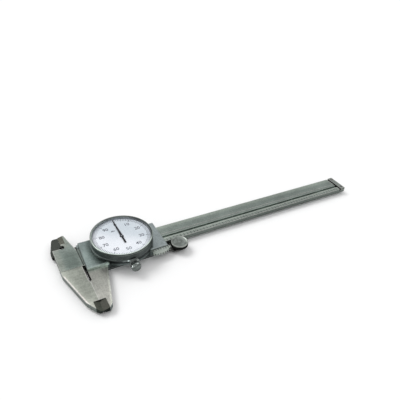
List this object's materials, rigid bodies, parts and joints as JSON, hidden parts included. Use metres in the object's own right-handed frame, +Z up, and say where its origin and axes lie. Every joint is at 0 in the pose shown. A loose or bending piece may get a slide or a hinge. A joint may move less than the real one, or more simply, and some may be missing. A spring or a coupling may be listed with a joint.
{
  "type": "dial caliper",
  "caption": "Dial caliper: a flat steel beam with outside and inside jaws, a slider with a round rack-driven dial, a thumb roller and a depth rod.",
  "frame": {"origin": "on the flat back face of the slider, straight below the dial's axis, at the middle of the beam's width", "axes": "+X along the beam towards its free end, +Y across the beam towards the inside jaws, +Z up out of the dial"},
  "size_m": [0.2296, 0.0711, 0.0145],
  "materials": {
    "beam_steel": "satin ground",
    "slider_steel": "satin ground",
    "rack_steel": "cut teeth, oiled",
    "rod_steel": "ground",
    "roller_steel": "satin with knurled rim",
    "screw_steel": "turned",
    "case_steel": "turned",
    "bezel_plate": "satin chrome, knurled",
    "bright_plate": "chrome, knurled",
    "brass": "stamped",
    "bearing_brass": "turned",
    "spring_steel": "blued strip",
    "dial_white": "printed matt enamel",
    "ring_grey": "satin paint",
    "needle_black": "black",
    "crystal_glass": "clear polished"
  },
  "bodies": {
    "beam": {"beam_with_fixed_jaw": "beam_steel", "rack": "rack_steel", "end_stop": "beam_steel", "end_stop_screws": "screw_steel"},
    "slider": {"sliding_jaw": "slider_steel", "back_cover": "slider_steel", "back_cover_screws": "screw_steel", "gib_strip": "brass", "gib_screws": "screw_steel", "depth_rod": "rod_steel", "roller_arm": "rod_steel", "roller_pin": "screw_steel", "movement_plate": "brass", "movement_bridge": "brass", "movement_pillars": "brass", "movement_screws": "screw_steel", "lower_bushes": "bearing_brass", "upper_bushes": "bearing_brass", "hairspring_stud": "brass", "dial_case": "case_steel", "bezel_clamp_claw": "bright_plate"},
    "roller": {"thumb_roller": "roller_steel"},
    "lock_knob": {"lock_screw": "bright_plate"},
    "clamp_knob": {"bezel_clamp_screw": "bright_plate"},
    "dial_ring": {"bezel": "bezel_plate", "dial_plate": "dial_white", "crystal_ring": "ring_grey", "crystal": "crystal_glass"},
    "pinion_shaft": {"rack_pinion": "rod_steel", "drive_gear": "brass"},
    "pointer": {"centre_pinion": "rod_steel", "needle": "needle_black", "needle_hub": "bearing_brass"},
    "take_up_wheel": {"take_up_arbor": "rod_steel", "take_up_gear": "brass", "hairspring": "spring_steel"}
  },
  "joints": [
    {"name": "slider_travel", "type": "slide", "parent": "beam", "child": "slider", "axis": [1, 0, 0], "range_m": [0, 0.1524]},
    {"name": "roller_turn", "type": "hinge", "parent": "slider", "child": "roller", "pos_m": [0.0345, -0.01385, 0], "axis": [0, 0, 1], "range_deg": [-2, 1508]},
    {"name": "pinion_turn", "type": "hinge", "parent": "slider", "child": "pinion_shaft", "pos_m": [-0.00441, -0.00345, 0], "axis": [0, 0, 1], "range_deg": [-2, 8642]},
    {"name": "needle_turn", "type": "hinge", "parent": "slider", "child": "pointer", "pos_m": [0, 0, 0], "axis": [0, 0, 1], "range_deg": [-21605, 5]},
    {"name": "take_up_turn", "type": "hinge", "parent": "slider", "child": "take_up_wheel", "pos_m": [0.00441, 0.00345, 0], "axis": [0, 0, 1], "range_deg": [-2, 8642]},
    {"name": "bezel_turn", "type": "hinge", "parent": "slider", "child": "dial_ring", "pos_m": [0, 0, 0], "axis": [0, 0, 1], "continuous": true},
    {"name": "lock_screw_turn", "type": "hinge", "parent": "slider", "child": "lock_knob", "pos_m": [0, 0, 0.0033], "axis": [0, 1, 0], "range_deg": [0, 360]},
    {"name": "clamp_screw_turn", "type": "hinge", "parent": "slider", "child": "clamp_knob", "pos_m": [0, 0, 0.00685], "axis": [0, -1, 0], "range_deg": [0, 360]}
  ],
  "couplings": [
    {"joint": "roller_turn", "follows": "slider_travel", "rad_per_m": 172.41},
    {"joint": "pinion_turn", "follows": "slider_travel", "rad_per_m": 989.48},
    {"joint": "needle_turn", "follows": "slider_travel", "rad_per_m": -2473.7},
    {"joint": "take_up_turn", "follows": "slider_travel", "rad_per_m": 989.48}
  ]
}
